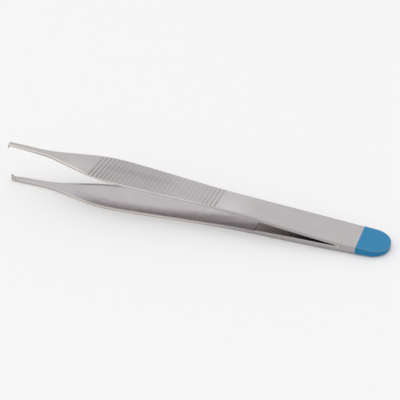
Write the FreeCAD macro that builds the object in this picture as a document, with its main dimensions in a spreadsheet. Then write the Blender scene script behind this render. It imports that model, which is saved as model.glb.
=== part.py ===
import FreeCAD, Part
import math
import os

import Sketcher
from FreeCAD import Rotation, Vector

# Spring-type thumb forceps with broad ribbed thumb grips, a slim nose and one-into-two teeth.
# The forceps are two steel leaves, welded face to face at the tail and sprung apart at the tips,
# with a coloured coating over the tail.
#
# A leaf is drawn lying on its outer face: x runs from the tail end to the tip, y across it and
# z from the outer face towards the other leaf. On the part +X points to the tail, and the lower
# leaf lies with its ribbed grip flat on Z = 0. The two leaves mirror each other about the seam
# plane, which rises from the grip plane at leaf_angle.

os.makedirs("parts", exist_ok=True)
doc = FreeCAD.newDocument("thumb_forceps")

# Driving sizes in millimetres and degrees. Names that end in _at are distances from the tail
# end, and those that end in _from_tip from the tip. Widths are full widths where two straight
# runs of the outline meet, before the corner is rounded. Heights and lifts are above the grip's
# outer plane.
DRIVING = {
    # whole instrument
    "overall_length": 120.0,
    "leaf_angle": 2.74,
    "seam_rise": 1.116,
    "weld_length": 14.5,
    # outline of a leaf
    "tail_width": 10.75,
    "tail_radius": 5.15,
    "heel_at": 16.0,
    "heel_width": 11.06,
    "waist_from_tip": 72.0,
    "waist_width": 8.98,
    "cheek_from_tip": 46.0,
    "cheek_width": 11.88,
    "shoulder_from_tip": 32.0,
    "shoulder_width": 12.82,
    "neck_from_tip": 14.2,
    "neck_width": 2.62,
    "tip_width": 1.7,
    "heel_radius": 200.0,
    "waist_radius": 220.0,
    "cheek_radius": 300.0,
    "shoulder_radius": 40.0,
    "neck_radius": 32.0,
    "tip_radius": 0.35,
    "outer_bevel": 0.1,
    "inner_bevel": 0.22,
    # outer face in side view
    "tail_lift": 0.46,
    "heel_lift": 0.52,
    "bend_from_tip": 78.5,
    "nose_bend_from_tip": 20.0,
    "tip_lift": 0.3,
    "bend_radius": 300.0,
    # inner face in side view
    "gap_relief": 0.12,
    "back_from_tip": 90.0,
    "back_height": 1.56,
    "step_from_tip": 81.7,
    "step_depth": 0.14,
    "step_run": 9.0,
    "thin_from_tip": 67.0,
    "grip_thickness": 0.87,
    "nose_from_tip": 22.0,
    "tip_thickness": 0.76,
    # ribs of the thumb grip
    "rib_from_tip": 29.62,
    "rib_pitch": 1.274,
    "rib_grooves": 32,
    "groove_depth": 0.14,
    "groove_width": 0.72,
    "groove_floor": 0.26,
    # teeth
    "tooth_height": 0.95,
    "tooth_foot": 0.6,
    "tooth_base": 0.84,
    "crest_length": 0.1,
    "crest_width": 0.3,
    "notch_width": 0.68,
    "relief_length": 2.1,
    "relief_depth": 0.34,
    # coating and weld
    "coat_length": 8.7,
    "coat_thickness": 0.07,
    "coat_bevel": 0.12,
    "bead_radius": 0.3,
    "bead_proud": 0.14,
    "bead_height": 1.0,
    "bead_at": 13.6,
    # how far the outlines of cuts reach past the metal
    "clearance": 5.0,
}

# Sizes worked out from the driving ones, in the order in which they are needed
DERIVED = {
    "tail_half": "=tail_width / 2",
    "heel_half": "=heel_width / 2",
    "waist_half": "=waist_width / 2",
    "cheek_half": "=cheek_width / 2",
    "shoulder_half": "=shoulder_width / 2",
    "neck_half": "=neck_width / 2",
    "tip_half": "=tip_width / 2",
    "waist_at": "=overall_length - waist_from_tip",
    "cheek_at": "=overall_length - cheek_from_tip",
    "shoulder_at": "=overall_length - shoulder_from_tip",
    "neck_at": "=overall_length - neck_from_tip",
    "bend_at": "=overall_length - bend_from_tip",
    "nose_bend_at": "=overall_length - nose_bend_from_tip",
    "back_at": "=overall_length - back_from_tip",
    "step_at": "=overall_length - step_from_tip",
    "thin_at": "=overall_length - thin_from_tip",
    "nose_at": "=overall_length - nose_from_tip",
    "rib_at": "=overall_length - rib_from_tip",
    "blank_width": "=shoulder_width + clearance",
    "far_out": "=overall_length + clearance",
    "side_out": "=blank_width / 2 + clearance",
    "tail_depth": "=seam_rise - tail_lift",
    "tail_lean": "=tail_depth * sin(leaf_angle)",
    "weld_top": "=seam_rise + weld_length * tan(leaf_angle)",
    "weld_low": "=weld_top - gap_relief",
    "inside_from": "=weld_length + inner_bevel",
    "step_slope": "=(back_height - grip_thickness) / (thin_at - back_at)",
    "step_low": "=grip_thickness + step_slope * (thin_at - step_at) - step_depth",
    "step_end": "=step_at + 2 * step_run",
    "step_high": "=step_low + 2 * (step_depth - step_slope * step_run)",
    "step_over": "=step_low + clearance",
    "tip_inner": "=tip_lift + tip_thickness",
    "tooth_top": "=tip_inner + tooth_height",
    "tooth_rear": "=overall_length - tooth_foot",
    "tooth_root": "=tip_inner - relief_depth / 2",
    "base_half": "=tooth_base / 2",
    "crest_rear": "=overall_length - crest_length",
    "crest_half": "=crest_width / 2",
    "notch_half": "=notch_width / 2",
    "notch_outer": "=notch_half + crest_width",
    "relief_start": "=overall_length - relief_length",
    "relief_end": "=overall_length - relief_length / 2",
    "relief_floor": "=tip_inner - relief_depth",
    "tooth_over": "=tooth_top + clearance",
    "tip_over": "=tip_half + clearance",
    "groove_left": "=rib_at - groove_width / 2",
    "groove_right": "=rib_at + groove_width / 2",
    "floor_left": "=rib_at - groove_floor / 2",
    "floor_right": "=rib_at + groove_floor / 2",
    "rib_run": "=rib_pitch * (rib_grooves - 1)",
    "tail_flare": "=(heel_half - tail_half) / heel_at",
    "tail_taper": "=tan(leaf_angle) - (heel_lift - tail_lift) / heel_at",
    "coat_half": "=tail_half + coat_thickness",
    "coat_radius": "=tail_radius + coat_thickness",
    "coat_back": "=tail_depth + coat_thickness",
    "coat_front": "=coat_back + coat_length * tail_taper",
    "coat_over": "=coat_length + clearance",
    "coat_flared": "=coat_half + coat_over * tail_flare",
    "bead_across": "=tail_half + bead_at * tail_flare - bead_radius + bead_proud",
    "bead_foot": "=-bead_height / 2",
    "half_length": "=overall_length / 2",
    "half_turn": "=180",
    "seam_turn": "=half_turn + leaf_angle",
    "upper_turn": "=half_turn + 2 * leaf_angle",
    "upper_origin": "=half_length + seam_rise * sin(2 * leaf_angle)",
    "upper_rise": "=seam_rise * (1 + cos(2 * leaf_angle))",
}

# A face whose normal has more than the first of these along z looks up or down, and one with
# less than the second is a wall
FLAT_FROM = 0.9
WALL_TO = 0.2

sheet = doc.addObject("Spreadsheet::Sheet", "sizes")
for row, (word, value) in enumerate({**DRIVING, **DERIVED}.items(), start=1):
    sheet.set("A%d" % row, word)
    sheet.set("B%d" % row, str(value))
    sheet.setAlias("B%d" % row, word)
doc.recompute()


def size(word):
    """The value of a cell; a leading minus turns its sign."""
    if word.startswith("-"):
        return -float(sheet.get(word[1:]))
    return float(sheet.get(word))


def link(word):
    """The formula that reads a cell; a leading minus turns its sign."""
    if word.startswith("-"):
        return "-sizes." + word[1:]
    return "sizes." + word


def plane_of(body, role):
    return next(item for item in body.Origin.OriginFeatures if item.Role == role)


def new_sketch(body, name, role):
    sketch = body.newObject("Sketcher::SketchObject", name)
    sketch.AttachmentSupport = [(plane_of(body, role), "")]
    sketch.MapMode = "FlatFace"
    return sketch


def draw_loop(sketch, corners):
    """A closed run of straight lines. Each corner is placed by two cells of the sheet, or by zero,
    and a third cell gives the radius of a corner that is rounded."""
    spots = [Vector(size(a) if a else 0, size(b) if b else 0, 0) for a, b, _ in corners]
    count = len(spots)
    radii = [radius for _, _, radius in corners]
    arcs = [corner_arc(spots, i, size(radii[i])) if radii[i] else None for i in range(count)]
    leave = [arc["end"] if arc else spot for arc, spot in zip(arcs, spots)]
    reach = [arc["start"] if arc else spot for arc, spot in zip(arcs, spots)]
    lines = []
    for i in range(count):
        line = Part.LineSegment(leave[i], reach[(i + 1) % count])
        lines.append(sketch.addGeometry(line, False))
    for i, (across, along, radius) in enumerate(corners):
        before, after = lines[i - 1], lines[i]
        if not radius:
            sketch.addConstraint(Sketcher.Constraint("Coincident", before, 2, after, 1))
            place_point(sketch, after, across, along, spots[i])
            continue
        arc = sketch.addGeometry(arcs[i]["curve"], False)
        near, far = (1, 2) if arcs[i]["left"] else (2, 1)
        sketch.addConstraint(Sketcher.Constraint("Tangent", before, 2, arc, near))
        sketch.addConstraint(Sketcher.Constraint("Tangent", arc, far, after, 1))
        index = sketch.addConstraint(Sketcher.Constraint("Radius", arc, size(radius)))
        sketch.setExpression("Constraints[%d]" % index, link(radius))
        corner = sketch.addGeometry(Part.Point(spots[i]), True)
        place_point(sketch, corner, across, along, spots[i])
        sketch.addConstraint(Sketcher.Constraint("PointOnObject", corner, 1, before))
        sketch.addConstraint(Sketcher.Constraint("PointOnObject", corner, 1, after))


def corner_arc(spots, i, radius):
    """The arc that rounds one corner of a closed run of points."""
    here = spots[i]
    before = (here - spots[i - 1]).normalize()
    after = (spots[(i + 1) % len(spots)] - here).normalize()
    turn = before.getAngle(after)
    left = before.cross(after).z > 0
    start = here - before * (radius * math.tan(turn / 2))
    end = here + after * (radius * math.tan(turn / 2))
    inward = Vector(-before.y, before.x, 0) * (1 if left else -1)
    centre = start + inward * radius
    first, last = (start, end) if left else (end, start)
    angles = [math.atan2(p.y - centre.y, p.x - centre.x) for p in (first, last)]
    circle = Part.Circle(centre, Vector(0, 0, 1), radius)
    return {"start": start, "end": end, "left": left, "curve": Part.ArcOfCircle(circle, *angles)}


def place_point(sketch, item, across, along, spot):
    for kind, word, value, axis in (("DistanceX", across, spot.x, -2), ("DistanceY", along, spot.y, -1)):
        if not word:
            sketch.addConstraint(Sketcher.Constraint("PointOnObject", item, 1, axis))
            continue
        index = sketch.addConstraint(Sketcher.Constraint(kind, -1, 1, item, 1, value))
        sketch.setExpression("Constraints[%d]" % index, link(word))


def face_normal(face):
    low_u, high_u, low_v, high_v = face.ParameterRange
    return face.normalAt((low_u + high_u) / 2, (low_v + high_v) / 2)


def outline_edges(shape, facing, start=0.0, end=math.inf):
    """Edges between the faces that look one way along z and the walls around them, within a
    range of x."""
    names = []
    for number, edge in enumerate(shape.Edges, start=1):
        normals = [face_normal(face) for face in shape.ancestorsOfType(edge, Part.Face)]
        middle = edge.BoundBox.Center.x
        if len(normals) != 2 or not start < middle < end:
            continue
        outer = [n for n in normals if n.z * facing > FLAT_FROM]
        walls = [n for n in normals if abs(n.z) < WALL_TO]
        if outer and walls:
            names.append("Edge%d" % number)
    return names


def pad(body, name, sketch, length_word):
    feature = body.newObject("PartDesign::Pad", name)
    feature.Profile = sketch
    feature.SideType = "Symmetric"
    feature.setExpression("Length", link(length_word))
    feature.Refine = False
    return feature


def trim_around(body, name, sketch):
    """Cut away what lies in the sketch, both ways through the whole body."""
    feature = body.newObject("PartDesign::Pocket", name)
    feature.Profile = sketch
    feature.Type = "ThroughAll"
    feature.SideType = "Symmetric"
    feature.Refine = False
    return feature


def bevel(body, name, base, edges, width_word):
    """A chamfer on named edges of the feature before it."""
    feature = body.newObject("PartDesign::Chamfer", name)
    feature.Base = (base, edges)
    feature.setExpression("Size", link(width_word))
    feature.Refine = False
    doc.recompute()
    return feature


def sharp(corners):
    """Corners of a run without roundings."""
    return [(a, b, "") for a, b in corners]


def mirrored_loop(half):
    """An outline that mirrors about the x axis, from its half in order of x."""
    return list(half) + [(a, "-" + b, radius) for a, b, radius in reversed(half)]


# Corners of a leaf's outline and their radii, tail to tip
LEAF_HALF = [
    ("", "tail_half", "tail_radius"),
    ("heel_at", "heel_half", "heel_radius"),
    ("waist_at", "waist_half", "waist_radius"),
    ("cheek_at", "cheek_half", "cheek_radius"),
    ("shoulder_at", "shoulder_half", "shoulder_radius"),
    ("neck_at", "neck_half", "neck_radius"),
    ("overall_length", "tip_half", "tip_radius"),
]

# Corners of a leaf in side view: along the outer face to the tip, then back along the inner face
LEAF_SIDE = [
    ("tail_lean", "tail_lift", ""),
    ("heel_at", "heel_lift", "bend_radius"),
    ("bend_at", "", ""),
    ("nose_bend_at", "", ""),
    ("overall_length", "tip_lift", ""),
    ("overall_length", "tooth_top", ""),
    ("crest_rear", "tooth_top", ""),
    ("tooth_rear", "tip_inner", ""),
    ("relief_end", "relief_floor", ""),
    ("relief_start", "tip_inner", ""),
    ("nose_at", "grip_thickness", "bend_radius"),
    ("thin_at", "grip_thickness", "bend_radius"),
    ("back_at", "back_height", "bend_radius"),
    ("weld_length", "weld_low", ""),
    ("weld_length", "weld_top", ""),
    ("", "seam_rise", ""),
]

# Spaces between and beside the teeth, seen from the tip: one tooth leaves a spike in the
# middle, two teeth leave a notch that takes it
ONE_TOOTH = [
    [("crest_half", "tooth_over"), ("crest_half", "tooth_top"), ("base_half", "tooth_root"),
     ("tip_over", "tooth_root"), ("tip_over", "tooth_over")],
    [("-crest_half", "tooth_over"), ("-tip_over", "tooth_over"), ("-tip_over", "tooth_root"),
     ("-base_half", "tooth_root"), ("-crest_half", "tooth_top")],
]
TWO_TEETH = [
    [("", "relief_floor"), ("notch_half", "tooth_top"), ("notch_half", "tooth_over"),
     ("-notch_half", "tooth_over"), ("-notch_half", "tooth_top")],
    [("notch_outer", "tooth_over"), ("notch_outer", "tooth_top"), ("tip_half", "tip_inner"),
     ("tip_over", "tip_inner"), ("tip_over", "tooth_over")],
    [("-notch_outer", "tooth_over"), ("-tip_over", "tooth_over"), ("-tip_over", "tip_inner"),
     ("-tip_half", "tip_inner"), ("-notch_outer", "tooth_top")],
]

# A frame around everything, for cuts that leave what lies inside an outline
SURROUND = [
    ("-side_out", "side_out"), ("far_out", "side_out"),
    ("far_out", "-side_out"), ("-side_out", "-side_out"),
]


def shape_leaf(body, tooth_spaces):
    """The side view padded, bent at its corners, trimmed to the outline, bevelled and cut."""
    tag = body.Name
    side = new_sketch(body, tag + "_side", "XZ_Plane")
    draw_loop(side, LEAF_SIDE)
    blank = pad(body, tag + "_blank", side, "blank_width")
    doc.recompute()

    plan = new_sketch(body, tag + "_plan", "XY_Plane")
    draw_loop(plan, sharp(SURROUND))
    draw_loop(plan, mirrored_loop(LEAF_HALF))
    trimmed = trim_around(body, tag + "_outline", plan)
    doc.recompute()

    rim = outline_edges(trimmed.Shape, -1)
    outside = bevel(body, tag + "_outer_bevel", trimmed, rim, "outer_bevel")
    rim = outline_edges(outside.Shape, 1, size("inside_from"), size("relief_start"))
    bevel(body, tag + "_inner_bevel", outside, rim, "inner_bevel")

    step_side = new_sketch(body, tag + "_step_side", "XZ_Plane")
    draw_loop(step_side, sharp([
        ("step_at", "step_low"), ("step_end", "step_high"),
        ("step_end", "step_over"), ("step_at", "step_over")]))
    trim_around(body, tag + "_step", step_side)
    doc.recompute()

    for number, corners in enumerate(tooth_spaces, start=1):
        front = new_sketch(body, "%s_tooth_space_%d" % (tag, number), "YZ_Plane")
        front.setExpression(".AttachmentOffset.Base.z", link("overall_length"))
        draw_loop(front, sharp(corners))
        gap = body.newObject("PartDesign::Pocket", "%s_tooth_gap_%d" % (tag, number))
        gap.Profile = front
        gap.setExpression("Length", link("relief_length"))
        gap.Refine = False

    groove_side = new_sketch(body, tag + "_groove_side", "XZ_Plane")
    draw_loop(groove_side, sharp([
        ("groove_left", "-clearance"), ("groove_right", "-clearance"), ("groove_right", ""),
        ("floor_right", "groove_depth"), ("floor_left", "groove_depth"), ("groove_left", "")]))
    groove = trim_around(body, tag + "_groove", groove_side)
    ribs = body.newObject("PartDesign::LinearPattern", tag + "_ribs")
    ribs.Originals = [groove]
    ribs.Direction = (groove_side, ["H_Axis"])
    ribs.Reversed = True
    ribs.setExpression("Length", link("rib_run"))
    ribs.setExpression("Occurrences", link("rib_grooves"))
    ribs.Refine = False
    body.Tip = ribs
    doc.recompute()


def new_leaf(label, tooth_spaces):
    body = doc.addObject("PartDesign::Body", label)
    body.Label = label
    shape_leaf(body, tooth_spaces)
    return body


def tie_placement(obj, axis, angle, along, up):
    """Place an object by an angle about one axis and two distances, all read from the sheet."""
    place = Vector(size(along), 0, size(up) if up else 0)
    obj.Placement = FreeCAD.Placement(place, Rotation(axis, size(angle)))
    obj.setExpression("Placement.Rotation.Angle", "%s * 1deg" % link(angle))
    obj.setExpression("Placement.Base.x", "%s * 1mm" % link(along))
    if up:
        obj.setExpression("Placement.Base.z", "%s * 1mm" % link(up))


def coat_body():
    """The coated tail as one closed block, symmetric about the seam plane."""
    body = doc.addObject("PartDesign::Body", "coat_block")
    side = new_sketch(body, "coat_side", "XZ_Plane")
    draw_loop(side, sharp([
        ("-coat_thickness", "coat_back"), ("coat_length", "coat_front"),
        ("coat_length", "-coat_front"), ("-coat_thickness", "-coat_back")]))
    pad(body, "coat_pad", side, "blank_width")
    plan = new_sketch(body, "coat_plan", "XY_Plane")
    draw_loop(plan, sharp(SURROUND))
    draw_loop(plan, mirrored_loop([
        ("-coat_thickness", "coat_half", "coat_radius"), ("coat_over", "coat_flared", "")]))
    outline = trim_around(body, "coat_outline", plan)
    doc.recompute()
    rim = outline_edges(outline.Shape, 1) + outline_edges(outline.Shape, -1)
    bevel(body, "coat_edge", outline, rim, "coat_bevel")
    return body


def weld_pegs():
    """An upright peg at each end of the seam's front, before the leaves are taken out of it."""
    pegs = []
    for name, across in (("near_peg", "-bead_across"), ("far_peg", "bead_across")):
        peg = doc.addObject("Part::Cylinder", name)
        peg.setExpression("Radius", link("bead_radius"))
        peg.setExpression("Height", link("bead_height"))
        place = Vector(size("bead_at"), size(across), size("bead_foot"))
        peg.Placement = FreeCAD.Placement(place, Rotation())
        peg.setExpression("Placement.Base.x", link("bead_at") + " * 1mm")
        peg.setExpression("Placement.Base.y", link(across) + " * 1mm")
        peg.setExpression("Placement.Base.z", link("bead_foot") + " * 1mm")
        pegs.append(peg)
    both = doc.addObject("Part::Fuse", "weld_pegs")
    both.Base, both.Tool = pegs
    return both


def without_leaves(label, block, leaves):
    """What is left of a block outside the two leaves."""
    cut = doc.addObject("Part::Cut", label)
    cut.Label = label
    cut.Base = block
    cut.Tool = leaves
    return cut


lower_arm = new_leaf("lower_arm", ONE_TOOTH)
upper_arm = new_leaf("upper_arm", TWO_TEETH)

# The lower leaf lies as drawn, turned round to bring its tail to +X. The upper leaf is its mirror
# image in the seam plane, which for a leaf with equal sides is a turn about the y axis.
tie_placement(lower_arm, Vector(0, 0, 1), "half_turn", "half_length", "")
tie_placement(upper_arm, Vector(0, 1, 0), "upper_turn", "upper_origin", "upper_rise")

leaves = doc.addObject("Part::Fuse", "both_leaves")
leaves.Base = lower_arm
leaves.Tool = upper_arm

# The coating and the weld are drawn on the seam plane, from the tail end forwards
coat_block = coat_body()
pegs = weld_pegs()
for drawn in (coat_block, pegs):
    tie_placement(drawn, Vector(0, 1, 0), "seam_turn", "half_length", "seam_rise")
doc.recompute()

end_coating = without_leaves("end_coating", coat_block, leaves)
tail_weld = without_leaves("tail_weld", pegs, leaves)
doc.recompute()

NODES = [lower_arm, upper_arm, tail_weld, end_coating]

for obj in doc.Objects:
    if "Invalid" in obj.State or "Error" in obj.State:
        raise RuntimeError("%s could not be built: %s" % (obj.Name, obj.State))
for node in NODES:
    if node.Shape.isNull() or not node.Shape.isValid() or not node.Shape.Solids:
        raise RuntimeError("%s has no valid solid" % node.Label)
for node in NODES:
    node.Shape.exportStep("parts/%s.step" % node.Label)
    box = node.Shape.BoundBox
    print("%-12s solids %d  volume %.2f  x %.3f %.3f  y %.3f %.3f  z %.3f %.3f" % (
        node.Label, len(node.Shape.Solids), node.Shape.Volume,
        box.XMin, box.XMax, box.YMin, box.YMax, box.ZMin, box.ZMax))
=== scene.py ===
import math

import bpy
from bpy.props import FloatProperty, FloatVectorProperty, PointerProperty
from bpy.types import Operator, Panel, PropertyGroup
from mathutils import Matrix, Vector

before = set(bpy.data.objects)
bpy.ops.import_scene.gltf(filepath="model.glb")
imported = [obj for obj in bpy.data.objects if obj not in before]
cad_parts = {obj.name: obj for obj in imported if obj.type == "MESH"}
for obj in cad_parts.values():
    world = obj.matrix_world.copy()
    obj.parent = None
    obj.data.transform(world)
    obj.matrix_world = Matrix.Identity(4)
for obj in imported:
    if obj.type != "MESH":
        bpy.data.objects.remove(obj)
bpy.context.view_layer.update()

# Thumb forceps: two sprung steel leaves with ribbed grips and toothed tips, welded at the tail
# and coated blue there, lying on one leaf on a pale table. All lengths are in metres. The solids
# come from the frame, and each gets its finish here.

bl_info = {
    "name": "Thumb Forceps",
    "version": (1, 0, 0),
    "blender": (4, 5, 0),
    "location": "3D View > Sidebar > Forceps",
    "description": "Steel, weld and coating finishes of a pair of thumb forceps, with a studio stage",
    "category": "Object",
}

MM = 0.001

# Where a leaf lies. A leaf is measured along it from the tail end, across it, and inwards from
# its outer face, and the two leaves mirror each other about the seam between them.
HALF_LENGTH = 60.0 * MM
LEAF_ANGLE = math.radians(2.74)
SEAM_RISE = 1.116 * MM
OPENING = 2 * LEAF_ANGLE

# Stations along a leaf, from the tail end
STEP_AT = 38.3 * MM
WAIST_AT = 48.0 * MM
RIBS_FROM = 50.5 * MM
SHOULDER_AT = 88.0 * MM
RIBS_TO = 90.75 * MM
NECK_AT = 105.8 * MM
TIP_AT = 120.0 * MM

# Half of a leaf's width at the waist, at the shoulder, at the neck and at the tip, and how far
# the straight runs between them are rounded into each other
WAIST_HALF = 4.49 * MM
SHOULDER_HALF = 6.41 * MM
NECK_HALF = 1.31 * MM
TIP_HALF = 0.85 * MM
SHOULDER_ROUND = 3.0 * MM
NECK_ROUND = 1.4 * MM

# How far a face looks inwards where it stops being a wall and where it is wholly an inner or an
# outer face
WALL_TO = 0.5
FACE_FROM = 0.8

# Inner faces: runs along a leaf over which the painted shade behind the step rises, and over which the
# painted dark reflection band along the near side deepens, narrows and fades. Then where the painted dark
# reflection on the far rim lies.
STEP_SHADE_RISES = (20 * MM, 37 * MM)
BAND_DEEPENS = (38 * MM, 54 * MM)
BAND_NARROWS = (44 * MM, 76 * MM)
BAND_FADES = (86 * MM, 100 * MM)
FAR_RIM = (85 * MM, 99 * MM)

# Walls: runs over which they brighten and carry a painted highlight, and where the edge below has painted
# light and painted shade
WALLS_BRIGHTEN = (35 * MM, 62 * MM)
WALL_HIGHLIGHT_RISES = (38 * MM, 66 * MM)
LIT_BELOW = (58 * MM, 87 * MM)
DARK_BELOW = (92 * MM, 111 * MM)
NOSE_DARKENS = (94 * MM, 106 * MM)

# Outer faces: where they carry a painted highlight behind the ribs, are darker on the ribs and carry a
# painted highlight on the nose, and the runs over which the painted highlight along the nose rim and the
# darker teeth begin
BRIGHT_BACK = (43 * MM, RIBS_FROM)
DARK_RIBS = (67 * MM, 87 * MM)
BRIGHT_NOSE = (92 * MM, 99 * MM)
RIM_HIGHLIGHT_RISES = (RIBS_TO, 95 * MM)
TEETH_RISE = (116 * MM, 117 * MM)

# Runs over which the painted shade in the groove floors fades from each end of the ribs
REAR_GROOVES = (RIBS_FROM, 57 * MM)
FRONT_GROOVES = (79 * MM, RIBS_TO)

# The camera, worked out from the edges of the forceps in a square photograph
CAMERA_PLACE = Vector((103.224, -248.318, 177.582)) * MM
CAMERA_RIGHT = Vector((0.934100, 0.355838, -0.028914))
CAMERA_DOWN = Vector((0.170194, -0.515035, -0.840103))
CAMERA_LENS = 97.554
SENSOR_WIDTH = 36.0
CLIP_START = 0.01
TABLE_REACH = 1.5


class ArmSettings(PropertyGroup):
    """Finish of the two steel arms."""
    outer_colour: FloatVectorProperty(
        name="Outer steel", description="Colour of the polished outer faces", subtype="COLOR",
        min=0.0, max=1.0, default=(0.515, 0.495, 0.50))
    inner_colour: FloatVectorProperty(
        name="Inner steel", description="Colour of the ground inner faces", subtype="COLOR",
        min=0.0, max=1.0, default=(0.515, 0.49, 0.51))
    # Painted dark reflections along the near side and the far rim of the inner faces
    painted_rim_colour: FloatVectorProperty(
        name="Ground rim", description="Colour of the inner faces near their outline", subtype="COLOR",
        min=0.0, max=1.0, default=(0.235, 0.205, 0.21))
    # Painted shade: darkens the inner faces behind the step and the line at the step, and also darkens
    # the teeth
    painted_shade_colour: FloatVectorProperty(
        name="Stained steel", description="Colour of the inner faces near the weld", subtype="COLOR",
        min=0.0, max=1.0, default=(0.36, 0.32, 0.315))
    # A painted highlight: lightens the upper half of the walls and the rim of the nose
    painted_highlight_colour: FloatVectorProperty(
        name="Polished rim", description="Colour of the rubbed rims and of the nose along its rim",
        subtype="COLOR", min=0.0, max=1.0, default=(0.80, 0.745, 0.69))
    edge_colour: FloatVectorProperty(
        name="Edge steel", description="Colour of the lower half of the side walls", subtype="COLOR",
        min=0.0, max=1.0, default=(0.54, 0.51, 0.505))
    # Painted shade in the floors of the rib grooves
    groove_shade_colour: FloatVectorProperty(
        name="Groove steel", description="Colour of the floors of the rib grooves", subtype="COLOR",
        min=0.0, max=1.0, default=(0.33, 0.31, 0.31))
    roughness: FloatProperty(
        name="Roughness", description="Mean roughness of the satin steel", subtype="FACTOR",
        min=0.05, max=1.0, default=0.30)
    brush_height: FloatProperty(
        name="Brush height", description="Height of the fine brush marks", subtype="DISTANCE",
        unit="LENGTH", min=0.0, max=0.0001, default=0.000003, precision=6)


class WeldSettings(PropertyGroup):
    """Finish of the weld beads at the end of the seam."""
    bead_colour: FloatVectorProperty(
        name="Bead steel", description="Colour of the fused weld metal", subtype="COLOR",
        min=0.0, max=1.0, default=(0.74, 0.72, 0.72))
    roughness: FloatProperty(
        name="Roughness", description="Mean roughness of the bead", subtype="FACTOR",
        min=0.05, max=1.0, default=0.28)


class CoatingSettings(PropertyGroup):
    """Finish of the coloured tail."""
    coat_colour: FloatVectorProperty(
        name="Coating", description="Colour of the tail's coating", subtype="COLOR",
        min=0.0, max=1.0, default=(0.004, 0.216, 0.442))
    # A painted highlight along the coating's rounded edges
    painted_rim_colour: FloatVectorProperty(
        name="Coating rim", description="Colour of the coating where it thins over its edges",
        subtype="COLOR", min=0.0, max=1.0, default=(0.12, 0.24, 0.37))
    roughness: FloatProperty(
        name="Roughness", description="Mean roughness of the coating", subtype="FACTOR",
        min=0.05, max=1.0, default=0.38)


class StageSettings(PropertyGroup):
    """Table, light and camera."""
    floor_colour: FloatVectorProperty(
        name="Table", description="Colour of the plain table", subtype="COLOR",
        min=0.0, max=1.0, default=(0.96, 0.96, 0.965))
    surround_strength: FloatProperty(
        name="Surround", description="Strength of the even light from all around",
        min=0.0, max=10.0, default=0.92)
    top_power: FloatProperty(
        name="Top light", description="Power of the soft light overhead", subtype="POWER",
        min=0.0, max=200.0, default=0.8)
    back_power: FloatProperty(
        name="Back light", description="Power of the soft light that the faces mirror", subtype="POWER",
        min=0.0, max=200.0, default=0.02)


# Small helpers for building a material's nodes

class Shade:
    """A new material and its nodes."""

    def __init__(self, name, metallic):
        self.material = bpy.data.materials.new(name)
        self.material.use_nodes = True
        self.tree = self.material.node_tree
        self.tree.nodes.clear()
        self.surface = self.node("ShaderNodeBsdfPrincipled")
        self.surface.inputs["Metallic"].default_value = metallic
        end = self.node("ShaderNodeOutputMaterial")
        self.tree.links.new(self.surface.outputs["BSDF"], end.inputs["Surface"])

    def node(self, kind, **settings):
        made = self.tree.nodes.new(kind)
        for word, value in settings.items():
            setattr(made, word, value)
        return made

    def feed(self, socket, value):
        """Link an output to a socket, or set the socket to a number or a colour."""
        if isinstance(value, bpy.types.NodeSocket):
            self.tree.links.new(value, socket)
        elif value is not None:
            socket.default_value = value

    def calc(self, operation, *values, clamp=False):
        made = self.node("ShaderNodeMath", operation=operation, use_clamp=clamp)
        for socket, value in zip(made.inputs, values):
            self.feed(socket, value)
        return made.outputs[0]

    def product(self, first, *others):
        for value in others:
            first = self.calc("MULTIPLY", first, value)
        return first

    def total(self, first, *others):
        for value in others:
            first = self.calc("ADD", first, value)
        return first

    def scaled(self, value, gain, offset):
        """A value times a gain, plus an offset."""
        return self.calc("MULTIPLY_ADD", value, gain, offset)

    def line(self, value, start, at_start, end, at_end):
        """A straight rise through two points, which goes on past both."""
        slope = (at_end - at_start) / (end - start)
        return self.scaled(value, slope, at_start - slope * start)

    def ramp(self, value, low, high, to_low=0.0, to_high=1.0):
        """A smooth rise of value from low to high."""
        made = self.node("ShaderNodeMapRange", interpolation_type="SMOOTHSTEP")
        for word, number in (("Value", value), ("From Min", low), ("From Max", high),
                             ("To Min", to_low), ("To Max", to_high)):
            self.feed(made.inputs[word], number)
        return made.outputs["Result"]

    def between(self, value, low, high, soft):
        """One between two limits, and zero outside them, with soft ends."""
        rise = self.ramp(value, low - soft, low + soft)
        fall = self.ramp(value, high - soft, high + soft, 1.0, 0.0)
        return self.product(rise, fall)

    def blend(self, share, first, second, mode="MIX"):
        """Mix two colours, each an output or three numbers."""
        made = self.node("ShaderNodeMix", data_type="RGBA", blend_type=mode)
        self.feed(made.inputs["Factor"], share)
        for socket, value in ((made.inputs[6], first), (made.inputs[7], second)):
            self.feed(socket, value if isinstance(value, bpy.types.NodeSocket) else (*value[:3], 1.0))
        return made.outputs[2]

    def grain(self, place, stretch, detail=2.0, roughness=0.5):
        """Noise whose cells have the given lengths in metres along each axis."""
        scaled = self.node("ShaderNodeVectorMath", operation="MULTIPLY")
        self.feed(scaled.inputs[0], place)
        scaled.inputs[1].default_value = [1.0 / length for length in stretch]
        noise = self.node("ShaderNodeTexNoise", noise_dimensions="3D")
        self.feed(noise.inputs["Vector"], scaled.outputs[0])
        noise.inputs["Scale"].default_value = 1.0
        noise.inputs["Detail"].default_value = detail
        noise.inputs["Roughness"].default_value = roughness
        return noise.outputs["Fac"]

    def relief(self, height, distance, under=None):
        """A bump of the given height in metres, over another bump if there is one."""
        made = self.node("ShaderNodeBump")
        made.inputs["Strength"].default_value = 1.0
        made.inputs["Distance"].default_value = distance
        self.feed(made.inputs["Height"], height)
        if under is not None:
            self.feed(made.inputs["Normal"], under)
        return made.outputs["Normal"]


def toned(colour, gain):
    """A colour made darker or lighter."""
    return [min(1.0, part * gain) for part in colour]


def dress(node_name, material):
    """Give a solid of the frame its material."""
    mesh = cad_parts[node_name].data
    mesh.materials.clear()
    mesh.materials.append(material)


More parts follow.
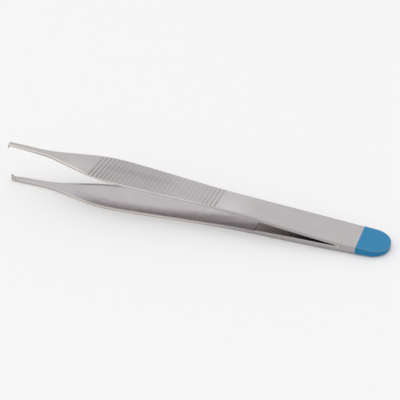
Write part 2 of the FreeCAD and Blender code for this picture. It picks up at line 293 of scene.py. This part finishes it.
class LeafShade(Shade):
    """Steel of one leaf, with where a point lies on the leaf and which way its face looks."""

    def __init__(self, name, upper):
        super().__init__(name, 1.0)
        self.upper = upper
        self.place = self.leaf_place()
        parts = self.node("ShaderNodeSeparateXYZ")
        self.feed(parts.inputs[0], self.place)
        self.along, self.across, self.inwards = parts.outputs

        self.facing = self.leaf_facing()
        self.inner = self.ramp(self.facing, WALL_TO, FACE_FROM)
        self.outer = self.ramp(self.facing, -FACE_FROM, -WALL_TO, 1.0, 0.0)
        not_inner = self.calc("SUBTRACT", 1.0, self.inner)
        self.wall = self.calc("SUBTRACT", not_inner, self.outer, clamp=True)

        # distance in from the leaf's outline, from its near side and from its far side
        half = self.half_width()
        self.margin = self.calc("SUBTRACT", half, self.calc("ABSOLUTE", self.across))
        self.from_near = self.calc("ADD" if upper else "SUBTRACT", half, self.across)
        self.from_far = self.calc("SUBTRACT" if upper else "ADD", half, self.across)

    def leaf_place(self):
        """Position on a leaf: along it, across it and inwards from its outer face."""
        turned = self.node("ShaderNodeMapping", vector_type="POINT")
        self.feed(turned.inputs["Vector"], self.node("ShaderNodeTexCoord").outputs["Object"])
        if self.upper:
            turn = Matrix.Rotation(math.pi - OPENING, 3, "Y")
            origin = Vector((HALF_LENGTH + SEAM_RISE * math.sin(OPENING), 0,
                             SEAM_RISE * (1 + math.cos(OPENING))))
        else:
            turn = Matrix.Rotation(math.pi, 3, "Z")
            origin = Vector((HALF_LENGTH, 0, 0))
        turned.inputs["Rotation"].default_value = turn.to_euler()
        turned.inputs["Location"].default_value = -(turn @ origin)
        return turned.outputs["Vector"]

    def leaf_facing(self):
        """How much a face looks inwards: 1 on an inner face, 0 on a wall and -1 on an outer one."""
        made = self.node("ShaderNodeVectorMath", operation="DOT_PRODUCT")
        self.feed(made.inputs[0], self.node("ShaderNodeNewGeometry").outputs["True Normal"])
        inward = (-math.sin(OPENING), 0, -math.cos(OPENING)) if self.upper else (0, 0, 1)
        made.inputs[1].default_value = inward
        return made.outputs["Value"]

    def half_width(self):
        """Half of the leaf's width, from the waist to the tip."""
        cheek = self.line(self.along, WAIST_AT, WAIST_HALF, SHOULDER_AT, SHOULDER_HALF)
        flank = self.line(self.along, SHOULDER_AT, SHOULDER_HALF, NECK_AT, NECK_HALF)
        nose = self.line(self.along, NECK_AT, NECK_HALF, TIP_AT, TIP_HALF)
        broad = self.calc("SMOOTH_MIN", cheek, flank, SHOULDER_ROUND)
        return self.calc("SMOOTH_MAX", broad, nose, NECK_ROUND)


def ground_steel(shade, settings):
    """Colour of the inner faces, and how far the painted shade behind the step reaches. They carry a
    painted dark reflection along their near side and on the far rim, and painted shade behind the step,
    whose edge is a painted dark line."""
    # painted dark reflection along the near side, with a wobbling edge
    band_wobble = shade.grain(shade.place, (2.4 * MM, 1.0 * MM, 3 * MM), 5.0, 0.72)
    band_wobble = shade.scaled(band_wobble, 3.0 * MM, -1.5 * MM)
    near_dark_reflection = shade.product(
        shade.ramp(shade.total(shade.from_near, band_wobble),
                   shade.ramp(shade.along, *BAND_NARROWS, 3.5 * MM, 0.0),
                   shade.ramp(shade.along, *BAND_NARROWS, 7.4 * MM, 5.3 * MM), 1.0, 0.0),
        shade.ramp(shade.along, *BAND_DEEPENS, 0.6, 1.0),
        shade.ramp(shade.along, *BAND_FADES, 1.0, 0.0))
    # painted dark reflection along the far rim
    rim = shade.product(shade.ramp(shade.from_far, 0.4 * MM, 1.8 * MM, 1.0, 0.0),
                        shade.between(shade.along, *FAR_RIM, 4 * MM))
    colour = shade.blend(shade.calc("MAXIMUM", near_dark_reflection, rim), settings.inner_colour, settings.painted_rim_colour)

    # painted shade on the inner faces behind the step
    step_shade = shade.product(shade.ramp(shade.along, STEP_AT - 0.3 * MM, STEP_AT, 1.0, 0.0),
                            shade.ramp(shade.along, *STEP_SHADE_RISES))
    colour = shade.blend(step_shade, colour, settings.painted_shade_colour)
    # a painted dark line of shade at the step's edge
    line_half = 0.18 * MM
    step_shade_line = shade.between(shade.along, STEP_AT - line_half, STEP_AT + line_half, 0.08 * MM)
    return shade.blend(shade.product(step_shade_line, 0.8), colour, toned(settings.painted_shade_colour, 0.35)), step_shade


def wall_steel(shade, settings):
    """Colour of the side walls: a painted highlight along their upper half, darker towards the tail,
    and painted shade low on them along the nose, with painted light low on the upper leaf's walls along
    the ribs."""
    if shade.upper:
        upper_half = shade.ramp(shade.inwards, 0.3 * MM, 0.6 * MM, 1.0, 0.0)
    else:
        upper_half = shade.ramp(shade.inwards, 0.12 * MM, 0.42 * MM)
    # painted highlight along the upper half of each wall
    highlighted = shade.product(upper_half, shade.ramp(shade.along, *WALL_HIGHLIGHT_RISES))
    colour = shade.blend(highlighted, settings.edge_colour, settings.painted_highlight_colour)
    colour = shade.blend(shade.ramp(shade.along, *WALLS_BRIGHTEN, 0.86, 1.0), (0, 0, 0), colour)
    if shade.upper:
        # upper leaf: painted shade low on the wall along the nose, and painted light low on it along the
        # ribs
        below = shade.ramp(shade.inwards, 0.24 * MM, 0.42 * MM)
        dark = shade.product(below, shade.between(shade.along, *DARK_BELOW, 3 * MM))
        lit = shade.product(below, shade.between(shade.along, *LIT_BELOW, 3 * MM))
        colour = shade.blend(lit, colour, toned(settings.inner_colour, 1.15))
    else:
        # lower leaf: painted shade along the foot of the wall, deeper along the nose
        dark = shade.calc("MAXIMUM", shade.ramp(shade.along, *NOSE_DARKENS, 0.0, 0.45),
                          shade.ramp(shade.inwards, 0.08 * MM, 0.22 * MM, 0.7, 0.0))
    return shade.blend(shade.product(dark, 0.8), colour, toned(settings.edge_colour, 0.62))


def groove_floors(shade):
    """Where the floors of the rib grooves are, and how dark their painted shade is: most at both ends of
    the ribs and towards the near side."""
    in_ribs = shade.between(shade.along, RIBS_FROM, RIBS_TO, 0.2 * MM)
    sunk = shade.between(shade.inwards, 0.06 * MM, 0.5 * MM, 0.05 * MM)
    floors = shade.product(in_ribs, sunk, shade.ramp(shade.facing, -0.3, 0.1, 1.0, 0.0))
    ends = shade.total(shade.ramp(shade.along, *REAR_GROOVES, 0.45, 0.0),
                       shade.ramp(shade.along, *FRONT_GROOVES, 0.0, 0.5))
    nearer = shade.product(ends, shade.ramp(shade.across, -4 * MM, 0, 0.8, 0.0))
    return floors, shade.product(floors, shade.calc("ADD", ends, nearer, clamp=True))


def painted_sheen(shade):
    """How much lighter or darker the outer faces are than their mean, in painted light and shade: a
    painted highlight, brightest behind the ribs, a painted highlight on the nose, and darker along the
    middle of the ribs."""
    # painted highlight behind the ribs
    back_highlight = shade.product(shade.between(shade.along, *BRIGHT_BACK, 5 * MM),
                         shade.ramp(shade.across, -5 * MM, 5 * MM, 0.26, 0.10))
    # painted highlight on the nose
    nose_highlight = shade.product(shade.between(shade.along, *BRIGHT_NOSE, 3 * MM),
                          shade.ramp(shade.across, -3 * MM, 2 * MM, 0.09, 0.0))
    dark_middle = shade.product(shade.between(shade.along, *DARK_RIBS, 6 * MM),
                         shade.total(shade.between(shade.across, -0.5 * MM, 2.0 * MM, 1.2 * MM), 1.0))
    return shade.total(back_highlight, nose_highlight, shade.product(dark_middle, -0.10))


def satin_steel(name, upper, settings):
    """Polished outer faces and ground inner faces, with painted highlights on the walls and along the
    nose rim, painted shade in the groove floors and behind the step, and painted dark reflections on the
    inner faces.
    """
    shade = LeafShade(name, upper)
    ground, step_shade = ground_steel(shade, settings)
    colour = shade.blend(shade.inner, settings.outer_colour, ground)
    colour = shade.blend(shade.wall, colour, wall_steel(shade, settings))

    # the nose carries a painted highlight along its rim, and its teeth are darker
    polished = shade.product(shade.ramp(shade.margin, 0.12 * MM, 0.4 * MM, 1.0, 0.0),
                             shade.ramp(shade.along, *RIM_HIGHLIGHT_RISES), shade.outer)
    colour = shade.blend(polished, colour, settings.painted_highlight_colour)
    teeth = shade.product(shade.ramp(shade.inwards, 1.15 * MM, 1.35 * MM),
                          shade.ramp(shade.along, *TEETH_RISE), 0.7)
    colour = shade.blend(teeth, colour, settings.painted_shade_colour)
    # painted shade in the groove floors
    floors, groove_shade = groove_floors(shade)
    colour = shade.blend(groove_shade, colour, settings.groove_shade_colour)

    # brush marks run along the outer faces and across the inner ones
    lengthwise = shade.grain(shade.place, (18 * MM, 0.6 * MM, 1.0 * MM), 4.0, 0.65)
    crosswise = shade.grain(shade.place, (0.45 * MM, 9 * MM, 1.0 * MM), 3.0, 0.6)
    mixed = shade.node("ShaderNodeMix", data_type="FLOAT")
    for number, value in ((0, shade.inner), (2, lengthwise), (3, crosswise)):
        shade.feed(mixed.inputs[number], value)
    marks = mixed.outputs[0]
    clouds = shade.grain(shade.place, (6 * MM, 3 * MM, 3 * MM), 3.0, 0.55)
    specks = shade.ramp(shade.grain(shade.place, (0.5 * MM, 0.5 * MM, 0.5 * MM), 1.0, 0.5), 0.68, 0.78)

    tone = shade.product(shade.scaled(marks, 0.19, 0.905), shade.scaled(clouds, 0.14, 0.93))
    tone = shade.calc("SUBTRACT", tone, shade.product(specks, 0.05))
    # painted highlights and shade on the outer faces
    tone = shade.product(tone, shade.total(shade.product(painted_sheen(shade), shade.outer), 1.0))
    grey = shade.node("ShaderNodeCombineColor")
    for socket in grey.inputs[:3]:
        shade.feed(socket, tone)
    shade.feed(shade.surface.inputs["Base Color"], shade.blend(1.0, colour, grey.outputs[0], "MULTIPLY"))

    # behind the step the inner faces are also rougher
    step_shade_inside = shade.product(step_shade, shade.inner)
    rough = shade.total(shade.scaled(clouds, 0.10, settings.roughness - 0.05),
                        shade.product(shade.inner, -0.12), shade.product(floors, 0.08),
                        shade.product(shade.wall, 0.18), shade.product(step_shade_inside, 0.25))
    shade.feed(shade.surface.inputs["Roughness"], rough)
    shade.feed(shade.surface.inputs["Normal"], shade.relief(marks, settings.brush_height))
    return shade.material


def weld_steel(settings):
    """Fused metal, smooth and slightly rippled."""
    shade = Shade("weld_bead", 1.0)
    place = shade.node("ShaderNodeTexCoord").outputs["Object"]
    ripple = shade.grain(place, (0.18 * MM, 0.3 * MM, 0.12 * MM), 2.0)
    tint = shade.ramp(ripple, 0.3, 0.7)
    burnt = toned(settings.bead_colour, 0.78)
    shade.feed(shade.surface.inputs["Base Color"], shade.blend(tint, burnt, settings.bead_colour))
    shade.feed(shade.surface.inputs["Roughness"],
               shade.ramp(ripple, 0.2, 0.8, settings.roughness - 0.06, settings.roughness + 0.1))
    shade.feed(shade.surface.inputs["Normal"], shade.relief(ripple, 0.02 * MM))
    return shade.material


def tail_paint(settings):
    """An even satin coat with a faint flow texture, painted shade on its walls and a painted highlight
    along its rounded rim.
    """
    shade = Shade("tail_coating", 0.0)
    place = shade.node("ShaderNodeTexCoord").outputs["Object"]
    flow = shade.grain(place, (1.6 * MM, 1.1 * MM, 0.8 * MM), 2.0, 0.5)
    pores = shade.grain(place, (0.25 * MM, 0.25 * MM, 0.25 * MM), 2.0, 0.5)
    deep, light = toned(settings.coat_colour, 0.96), toned(settings.coat_colour, 1.04)
    body = shade.blend(shade.ramp(flow, 0.25, 0.75), deep, light)
    facing = shade.node("ShaderNodeSeparateXYZ")
    shade.feed(facing.inputs[0], shade.node("ShaderNodeNewGeometry").outputs["True Normal"])
    level = shade.calc("ABSOLUTE", facing.outputs[2])
    # painted shade on the coat's walls
    body = shade.blend(shade.ramp(level, 0.1, 0.5, 0.2, 0.0), body, (0, 0, 0))
    # painted highlight along the coat's rounded rim
    coat_rim_highlight = shade.between(level, 0.4, 0.96, 0.05)
    shade.feed(shade.surface.inputs["Base Color"], shade.blend(coat_rim_highlight, body, settings.painted_rim_colour))
    shade.feed(shade.surface.inputs["Roughness"],
               shade.ramp(flow, 0.2, 0.8, settings.roughness - 0.05, settings.roughness + 0.06))
    shade.surface.inputs["Specular IOR Level"].default_value = 0.31
    skin = shade.relief(flow, 0.01 * MM)
    shade.feed(shade.surface.inputs["Normal"], shade.relief(pores, 0.002 * MM, skin))
    return shade.material


class FORCEPS_OT_arms(Operator):
    """Give both arms their satin steel"""
    bl_idname = "forceps.arms"
    bl_label = "Finish Arms"

    def execute(self, context):
        settings = context.scene.forceps_arms
        for arm, upper in (("lower_arm", False), ("upper_arm", True)):
            dress(arm, satin_steel(arm + "_steel", upper, settings))
        return {"FINISHED"}


class FORCEPS_OT_weld(Operator):
    """Give the beads at the end of the seam their fused metal"""
    bl_idname = "forceps.weld"
    bl_label = "Finish Weld"

    def execute(self, context):
        dress("tail_weld", weld_steel(context.scene.forceps_weld))
        return {"FINISHED"}


class FORCEPS_OT_coating(Operator):
    """Give the tail its coloured coating"""
    bl_idname = "forceps.coating"
    bl_label = "Finish Coating"

    def execute(self, context):
        dress("end_coating", tail_paint(context.scene.forceps_coating))
        return {"FINISHED"}


def soft_light(name, place, target, width, height, power):
    """A large rectangular light that looks at a point."""
    lamp = bpy.data.lights.new(name, "AREA")
    lamp.shape = "RECTANGLE"
    lamp.size = width
    lamp.size_y = height
    lamp.energy = power
    holder = bpy.data.objects.new(name, lamp)
    holder.location = place
    holder.rotation_euler = (Vector(target) - Vector(place)).to_track_quat("-Z", "Y").to_euler()
    bpy.context.collection.objects.link(holder)


class FORCEPS_OT_stage(Operator):
    """Set the table, the soft lights and the camera"""
    bl_idname = "forceps.stage"
    bl_label = "Set Stage"

    def execute(self, context):
        settings = context.scene.forceps_stage
        mesh = bpy.data.meshes.new("table")
        corners = [(x * TABLE_REACH, y * TABLE_REACH, 0) for x, y in ((-1, -1), (1, -1), (1, 1), (-1, 1))]
        mesh.from_pydata(corners, [], [(0, 1, 2, 3)])
        table = bpy.data.objects.new("table", mesh)
        context.collection.objects.link(table)
        shade = Shade("table_top", 0.0)
        shade.surface.inputs["Base Color"].default_value = (*settings.floor_colour, 1.0)
        shade.surface.inputs["Roughness"].default_value = 0.8
        mesh.materials.append(shade.material)

        world = bpy.data.worlds.new("studio")
        world.use_nodes = True
        surround = world.node_tree.nodes["Background"]
        surround.inputs["Color"].default_value = (1.0, 0.99, 0.985, 1.0)
        surround.inputs["Strength"].default_value = settings.surround_strength
        context.scene.world = world
        context.scene.view_settings.view_transform = "Standard"

        soft_light("top_light", place=(-0.25, -0.30, 0.90), target=(0, 0, 0),
                   width=1.5, height=1.2, power=settings.top_power)
        soft_light("back_light", place=(-0.19, 0.65, 0.50), target=(0, 0, 0.005),
                   width=0.4, height=0.3, power=settings.back_power)

        lens = bpy.data.cameras.new("camera")
        lens.sensor_width = SENSOR_WIDTH
        lens.lens = CAMERA_LENS
        lens.clip_start = CLIP_START
        camera = bpy.data.objects.new("camera", lens)
        away = CAMERA_RIGHT.cross(CAMERA_DOWN)
        frame_axes = Matrix((CAMERA_RIGHT, -CAMERA_DOWN, -away)).transposed()
        camera.matrix_world = Matrix.Translation(CAMERA_PLACE) @ frame_axes.to_4x4()
        context.collection.objects.link(camera)
        context.scene.camera = camera
        return {"FINISHED"}


class FORCEPS_PT_sidebar(Panel):
    """Forceps settings in the sidebar"""
    bl_idname = "FORCEPS_PT_sidebar"
    bl_label = "Thumb Forceps"
    bl_space_type = "VIEW_3D"
    bl_region_type = "UI"
    bl_category = "Forceps"

    def draw(self, context):
        for word, operator in zip(GROUPS, OPERATORS):
            group = getattr(context.scene, word)
            box = self.layout.box()
            for setting in group.__annotations__:
                box.prop(group, setting)
            box.operator(operator.bl_idname)


GROUPS = {
    "forceps_arms": ArmSettings,
    "forceps_weld": WeldSettings,
    "forceps_coating": CoatingSettings,
    "forceps_stage": StageSettings,
}
OPERATORS = (FORCEPS_OT_arms, FORCEPS_OT_weld, FORCEPS_OT_coating, FORCEPS_OT_stage)
CLASSES = (*OPERATORS, FORCEPS_PT_sidebar)


def register():
    for word, group in GROUPS.items():
        bpy.utils.register_class(group)
        setattr(bpy.types.Scene, word, PointerProperty(type=group))
    for item in CLASSES:
        bpy.utils.register_class(item)


def unregister():
    for item in reversed(CLASSES):
        bpy.utils.unregister_class(item)
    for word, group in GROUPS.items():
        delattr(bpy.types.Scene, word)
        bpy.utils.unregister_class(group)


def main():
    register()
    bpy.ops.forceps.arms()
    bpy.ops.forceps.weld()
    bpy.ops.forceps.coating()
    bpy.ops.forceps.stage()


if __name__ == "__main__":
    main()
